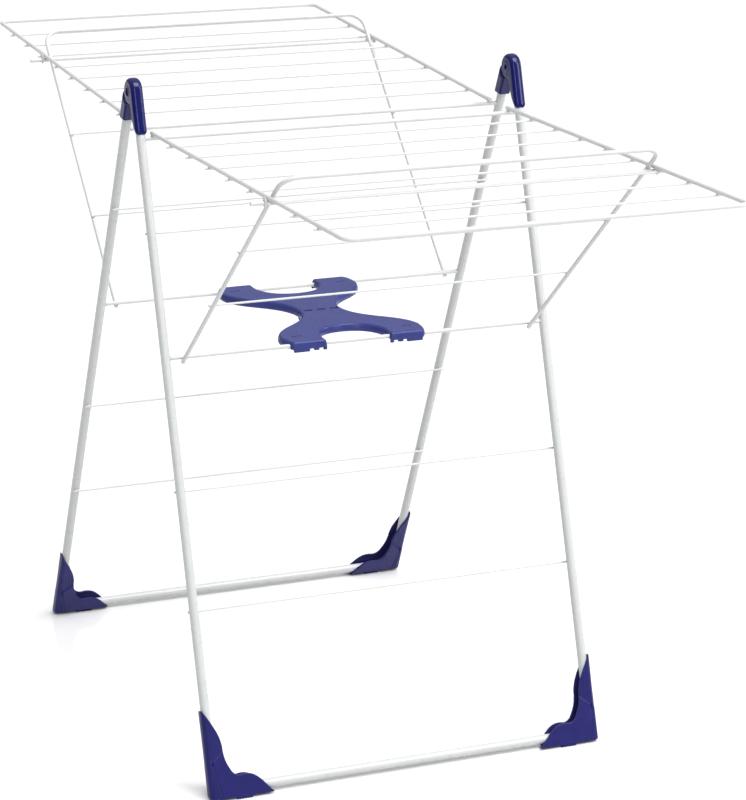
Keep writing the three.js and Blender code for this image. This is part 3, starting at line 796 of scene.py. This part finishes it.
def foot(half, side):
    """An open boot round the bend of the tube: two cheeks, an outer wall, a sole and a pad."""
    outline = foot_outline()
    to_world = np.array(LEG_FRAME)

    def field(x, y, z):
        u, v = np.broadcast_arrays(LEG_X - side * x, z + LEG_REACH)
        across = y + LEG_OFFSET
        out = FOOT_ROUND - FOOT_OUT - u
        thick = np.abs(across) - FOOT_W / 2 + FOOT_ROUND
        plan = (length2(np.maximum(out, 0), np.maximum(thick, 0))
                + np.minimum(np.maximum(out, thick), 0) - FOOT_ROUND)
        carved = foot_relief(u, v) * np.clip(np.abs(across) / 4.0, 0, 1)
        body = smooth_meet(outline_field(outline, u, v), plan + carved, 1.4)
        height = to_world[2, 0] * x + to_world[2, 1] * y + to_world[2, 2] * z + to_world[2, 3]
        body = smooth_meet(body, SOLE_Z - height, 0.8)
        pad = box_field(u, across, v, PAD_CENTRE, PAD_HALF, 1.0)
        grip = 0.35 * (0.5 + 0.5 * np.cos(u * 2 * math.pi / PAD_RIB_PITCH)) * (height < SOLE_Z)
        body = smooth_join(body, np.maximum(pad + grip, -height), 0.5)
        return smooth_cut(body, tube_channel(u, v, across), 0.6)

    x_edges = sorted((side * (LEG_X + FOOT_OUT), side * (LEG_X - FOOT_TOE)))
    low = (x_edges[0], -LEG_OFFSET - FOOT_W / 2, -LEG_REACH - 16)
    high = (x_edges[1], -LEG_OFFSET + FOOT_W / 2, -LEG_REACH + FOOT_TIP)
    verts, quads, normals = field_mesh(field, low, high, 1.0)
    node = f"{half}_foot_{side_name(half, side)}"
    add_piece(f"{node}_detail", verts, quads, HALF_TURN[half] @ LEG_FRAME,
              FOOT_BLUE, f"{half}_frame", [node], normals)


# ---- wings ------------------------------------------------------------------------------


def pivot_bar(half):
    end = LEG_X - 3
    bar = rod([(-end, 0, 0), (end, 0, 0)], THICK_R, THICK_SIDES)
    parts = with_welds(bar, (RAIL_X, 0, RAIL_V / 2), (3.2, 3.2, 1.5))
    add_wires(f"{half}_wing_pivot_bar", parts, HALF_TURN[half] @ WING_FRAME, f"{half}_wing")


def wing_frame(half):
    behind = 5.0
    points = rounded_path([(-RAIL_X, behind, RAIL_V), (-RAIL_X, -WING_LENGTH, RAIL_V),
                           (RAIL_X, -WING_LENGTH, RAIL_V), (RAIL_X, behind, RAIL_V)],
                          WING_BEND_R, 14)
    add_wires(f"{half}_wing_frame", [rod(points, THICK_R, THICK_SIDES)],
              HALF_TURN[half] @ WING_FRAME, f"{half}_wing")


def drying_rod(half, index):
    node = f"{half}_wing_rod_{index}"
    y = -index * ROD_PITCH
    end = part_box(node)[1][0] / MM
    wire = rod([(-end, y, ROD_V), (end, y, ROD_V)], THIN_R)
    parts = with_welds(wire, (RAIL_X, y, ROD_V + THIN_R), (2.6, 3.0, 1.3))
    add_wires(node, parts, HALF_TURN[half] @ WING_FRAME, f"{half}_wing")


def axle_eye(half, side):
    """A flat eye welded under the rail; the axle turns in it."""
    thickness = 2.2
    eye_r = 5.1
    x_mid = side * (RAIL_X + THICK_R + GAP + thickness / 2)

    def field(x, y, z):
        du = y + AXLE_AT
        dv = z - AXLE_V
        neck = np.maximum(np.abs(du) - 3.6, np.maximum(-dv, dv - RAIL_V - 1.2))
        plate = smooth_join(length2(du, dv) - eye_r, neck, 2.5)
        plate = slab_field(plate, x - x_mid, thickness / 2, 0.7)
        return smooth_cut(plate, length2(du, dv) - THICK_R - PLAY, 0.4)

    low = (x_mid - thickness / 2, -AXLE_AT - 5.2, AXLE_V - 5.2)
    high = (x_mid + thickness / 2, -AXLE_AT + 5.2, AXLE_V + RAIL_V + 1.6)
    verts, quads, normals = field_mesh(field, low, high, 0.4)
    node = f"{half}_axle_eye_{side_name(half, side)}"
    add_piece(f"{node}_detail", verts, quads, HALF_TURN[half] @ WING_FRAME,
              WIRE_COAT, f"{half}_wing", [node], normals)


# ---- struts -----------------------------------------------------------------------------


def strut_frame(half):
    low = -STRUT_SPAN - STRUT_TAIL
    points = rounded_path([(-STRUT_X, BESIDE, low), (-STRUT_X, BESIDE, STRUT_LOOP),
                           (STRUT_X, BESIDE, STRUT_LOOP), (STRUT_X, BESIDE, low)],
                          STRUT_BEND_R, 16)
    add_wires(f"{half}_strut_frame", [rod(points, THICK_R, THICK_SIDES)],
              HALF_TURN[half] @ STRUT_FRAME, f"{half}_strut")


def strut_axle(half):
    x0, x1 = [corner[0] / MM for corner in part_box(f"{half}_strut_axle")]
    if half == "back":
        x0, x1 = -x1, -x0
    axle = rod([(x0, 0, 0), (x1, 0, 0)], THICK_R, THICK_SIDES, 0.8)
    parts = with_welds(axle, (STRUT_X, BESIDE / 2, 0), (3.2, 1.5, 3.2))
    add_wires(f"{half}_strut_axle", parts, HALF_TURN[half] @ STRUT_FRAME, f"{half}_strut")


def strut_wire(half, level, below):
    y = BESIDE + THICK_R + THIN_R + GAP
    end = STRUT_X + THICK_R + 1
    wire = rod([(-end, y, -below), (end, y, -below)], THIN_R)
    parts = with_welds(wire, (STRUT_X, y - THIN_R, -below), (2.9, 1.3, 2.5))
    add_wires(f"{half}_strut_wire_{level}", parts, HALF_TURN[half] @ STRUT_FRAME,
              f"{half}_strut")


# ---- spreader ---------------------------------------------------------------------------


def spreader_outline():
    """Half of the X from above, from the waist line to the ends of its two arms."""
    tip = SPREADER_TIP
    arm = SPREADER_ARM
    mouth = SPREADER_MOUTH
    waist = SPREADER_WAIST
    right = [(waist, -6.0), (waist, 0.0)]
    right += bezier(right[-1], (waist + 2, 60), (arm - 8, 62), (arm, 112), 22)
    right += bezier(right[-1], (arm, 128), (arm - 4, tip), (arm - 12, tip), 10)
    right.append((mouth + 4, tip))
    right += bezier(right[-1], (mouth + 1, tip), (mouth, tip - 2), (mouth, tip - 5), 5)
    right.append((mouth, 122))
    right += bezier(right[-1], (mouth - 8, 92), (mouth - 26, 86), (0, 85), 18)
    left = [(-u, v) for u, v in reversed(right[:-1])]
    return right + left


def spreader_hollow(plan, u, v, z):
    """The space under the plate, with its ribs and the solid ends of the arms left standing."""
    hollow = np.maximum(plan + SPREADER_WALL, z - SPREADER_TOP + SPREADER_PLATE)
    hollow = np.maximum(hollow, 9.0 - v)
    slanted = np.minimum(np.abs(u - v * 0.35), np.abs(u + v * 0.35)) - RIB_HALF
    ribs = np.minimum(slanted, np.abs(v - 62.0) - RIB_HALF)
    reach = (SPREADER_ARM - SPREADER_MOUTH) / 2
    clip = box_field(np.abs(u), v, z, (SPREADER_MOUTH + reach, 136.0, 0.0),
                     (reach - 1, 8.0, 9.0), 0.3)
    return np.maximum(hollow, np.maximum(-ribs, -clip))


def spreader_half(name, turn, body, slots):
    """One half of the spreader; the half with the slots has the middle knuckle of the waist."""
    outline = spreader_outline()

    def field(x, y, z):
        u, v = np.broadcast_arrays(x * turn, y * turn)
        plan = outline_field(outline, u, v)
        middle = (SPREADER_TOP - SPREADER_SKIRT) / 2
        half_height = (SPREADER_TOP + SPREADER_SKIRT) / 2
        skirt = np.clip((z - 0.5) / 6.7, 0, 1) * 2.0
        shell = slab_field(plan + skirt, z - middle, half_height, 3.2)
        shell = smooth_cut(shell, spreader_hollow(plan, u, v, z), 0.4)
        for at, half_width, drop in CLIP_TEETH:
            tooth = box_field(np.abs(u), v, z, (at, ROD_OUT + 6.4, -SPREADER_SKIRT - drop + 3.0),
                              (half_width, 1.8, 3.0), 0.7)
            shell = smooth_join(shell, tooth, 0.5)
        slit = box_field(np.abs(u), v, z, (84.0, 118.3, SPREADER_TOP), (7.5, 1.4, 6.0), 0.8)
        shell = smooth_cut(shell, slit, 0.3)
        if slots:
            for at in (-SLOT_PITCH, 0.0, SLOT_PITCH):
                slot = box_field(u, v, z, (at, 6.2, SPREADER_TOP), (6.4, 2.9, 6.0), 0.6)
                shell = smooth_cut(shell, slot, 0.3)
        groove = length2(v - ROD_OUT, z) - THICK_R - PLAY
        mouth = np.maximum(np.abs(v - ROD_OUT) - THICK_R + 0.15, z)
        shell = smooth_cut(shell, np.minimum(groove, mouth), 0.3)
        shell = np.maximum(shell, GAP / 2 - v)
        barrel = length2(v, z + SPREADER_SKIRT)
        if slots:
            mine = np.abs(u) - KNUCKLE_INNER
            theirs = KNUCKLE_INNER + 0.1 - np.abs(u)
        else:
            mine = np.maximum(KNUCKLE_OUTER - np.abs(u), np.abs(u) - SPREADER_WAIST + 2)
            theirs = np.abs(u) - KNUCKLE_OUTER
        shell = smooth_cut(shell, np.maximum(barrel - KNUCKLE_R - 0.5, theirs), 0.2)
        shell = smooth_join(shell, np.maximum(barrel - KNUCKLE_R, mine), 0.4)
        return np.maximum(shell, SPREADER_PIN_R + PLAY - barrel)

    low = (-SPREADER_ARM, -KNUCKLE_R if turn > 0 else -SPREADER_TIP, -9)
    high = (SPREADER_ARM, SPREADER_TIP if turn > 0 else KNUCKLE_R, SPREADER_TOP)
    verts, quads, normals = field_mesh(field, low, high, 1.0)
    add_piece(f"{name}_detail", verts, quads, SPREADER_FRAME, SPREADER_BLUE, body,
              [name], normals)


def spreader_pin():
    end = SPREADER_WAIST - 3
    pin = rod([(-end, 0, -SPREADER_SKIRT), (end, 0, -SPREADER_SKIRT)], SPREADER_PIN_R, 20, 0.5)
    add_wires("spreader_hinge_pin", [pin], SPREADER_FRAME, "spreader_rear_half")


# ---- the rack ---------------------------------------------------------------------------


def build_rack():
    for half in ("front", "back"):
        leg_tube(half)
        for level, along in FRAME_WIRES.items():
            frame_wire(half, level, along)
        foot_rod(half)
        pivot_bar(half)
        wing_frame(half)
        for index in range(1, ROD_COUNT + 1):
            drying_rod(half, index)
        strut_frame(half)
        strut_axle(half)
        for level, below in STRUT_WIRES.items():
            strut_wire(half, level, below)
        for side in (-1, 1):
            foot(half, side)
            axle_eye(half, side)
    for side in (-1, 1):
        front_sleeve(side)
        rear_sleeve(side)
        sleeve_hook(side)
        hinge_pin(side)
    spreader_half("spreader_rear", 1, "spreader_rear_half", slots=False)
    spreader_half("spreader_front", -1, "spreader_front_half", slots=True)
    spreader_pin()


# ---- studio -----------------------------------------------------------------------------


def floor():
    """A plain pale floor: matt white under a thin even gloss."""
    size = 30.0
    mesh = bpy.data.meshes.new("studio_floor")
    mesh.from_pydata([(-size, -size, 0), (size, -size, 0), (size, size, 0), (-size, size, 0)],
                     [], [(0, 1, 2, 3)])
    shader = Shader("studio_floor")
    matt = shader.nodes.new("ShaderNodeBsdfDiffuse")
    matt.inputs["Color"].default_value = (0.62, 0.62, 0.625, 1.0)
    gloss = shader.nodes.new("ShaderNodeBsdfGlossy")
    gloss.inputs["Color"].default_value = (1.0, 1.0, 1.0, 1.0)
    gloss.inputs["Roughness"].default_value = 0.09
    mix = shader.nodes.new("ShaderNodeMixShader")
    mix.inputs["Fac"].default_value = 0.17
    shader.links.new(matt.outputs["BSDF"], mix.inputs[1])
    shader.links.new(gloss.outputs["BSDF"], mix.inputs[2])
    shader.links.new(mix.outputs["Shader"], shader.nodes["Material Output"].inputs["Surface"])
    mesh.materials.append(shader.material)
    plane = bpy.data.objects.new("studio_floor", mesh)
    bpy.context.scene.collection.objects.link(plane)


def area_light(name, location, size):
    """A softbox that faces the upper part of the rack."""
    light = bpy.data.lights.new(name, "AREA")
    light.shape = "RECTANGLE"
    light.size, light.size_y = size
    light.energy = 45.0
    lamp = bpy.data.objects.new(name, light)
    lamp.location = location
    aim = Vector((0.0, 0.0, 0.9)) - Vector(location)
    lamp.rotation_euler = aim.to_track_quat("-Z", "Y").to_euler()
    bpy.context.scene.collection.objects.link(lamp)


def sky(strength_low, strength_high):
    """A white surround that brightens from the horizon to overhead."""
    world = bpy.data.worlds.new("studio")
    world.use_nodes = True
    nodes = world.node_tree.nodes
    links = world.node_tree.links
    place = nodes.new("ShaderNodeTexCoord")
    split = nodes.new("ShaderNodeSeparateXYZ")
    rise = nodes.new("ShaderNodeMapRange")
    rise.inputs["From Min"].default_value = 0.0
    rise.inputs["From Max"].default_value = 1.0
    rise.inputs["To Min"].default_value = strength_low
    rise.inputs["To Max"].default_value = strength_high
    links.new(place.outputs["Generated"], split.inputs["Vector"])
    links.new(split.outputs["Z"], rise.inputs["Value"])
    nodes["Background"].inputs["Color"].default_value = (1.0, 1.0, 1.0, 1.0)
    links.new(rise.outputs["Result"], nodes["Background"].inputs["Strength"])
    bpy.context.scene.world = world


def soft_sun(direction, strength, spread_deg):
    """A broad overhead light, shining along the given direction."""
    light = bpy.data.lights.new("overhead", "SUN")
    light.energy = strength
    light.angle = math.radians(spread_deg)
    lamp = bpy.data.objects.new("overhead", light)
    lamp.rotation_euler = Vector(direction).to_track_quat("-Z", "Y").to_euler()
    bpy.context.scene.collection.objects.link(lamp)


def lights():
    sky(0.15, 1.45)
    soft_sun((-0.25, 0.35, -1.0), 3.0, 35.0)
    area_light("front_box", (-0.9, -3.6, 2.6), (0.5, 1.8))
    area_light("right_box", (2.3, -2.7, 2.6), (0.7, 2.2))
    area_light("side_box", (3.6, -0.4, 2.4), (0.8, 2.2))


def camera():
    """The camera that the perspective of the rack itself gives."""
    location = Vector((-1.5488, -3.6121, 1.7362))
    azimuth = math.radians(-21.563)
    elevation = math.radians(-18.087)
    roll = math.radians(0.962)
    forward = Vector((-math.sin(azimuth) * math.cos(elevation),
                      math.cos(azimuth) * math.cos(elevation), math.sin(elevation)))
    right = forward.cross(Vector((0, 0, 1))).normalized()
    up = right.cross(forward)
    right, up = (right * math.cos(roll) + up * math.sin(roll),
                 up * math.cos(roll) - right * math.sin(roll))
    data = bpy.data.cameras.new("camera")
    data.sensor_width = 36.0
    data.lens = 127.83
    data.shift_x = 0.1643
    data.shift_y = -0.0183
    data.clip_end = 100.0
    view = bpy.data.objects.new("camera", data)
    basis = Matrix((right, up, -forward)).transposed().to_4x4()
    view.matrix_world = Matrix.Translation(location) @ basis
    bpy.context.scene.collection.objects.link(view)
    bpy.context.scene.camera = view


camera()
build_rack()
floor()
lights()
bpy.context.scene.view_settings.view_transform = "Standard"
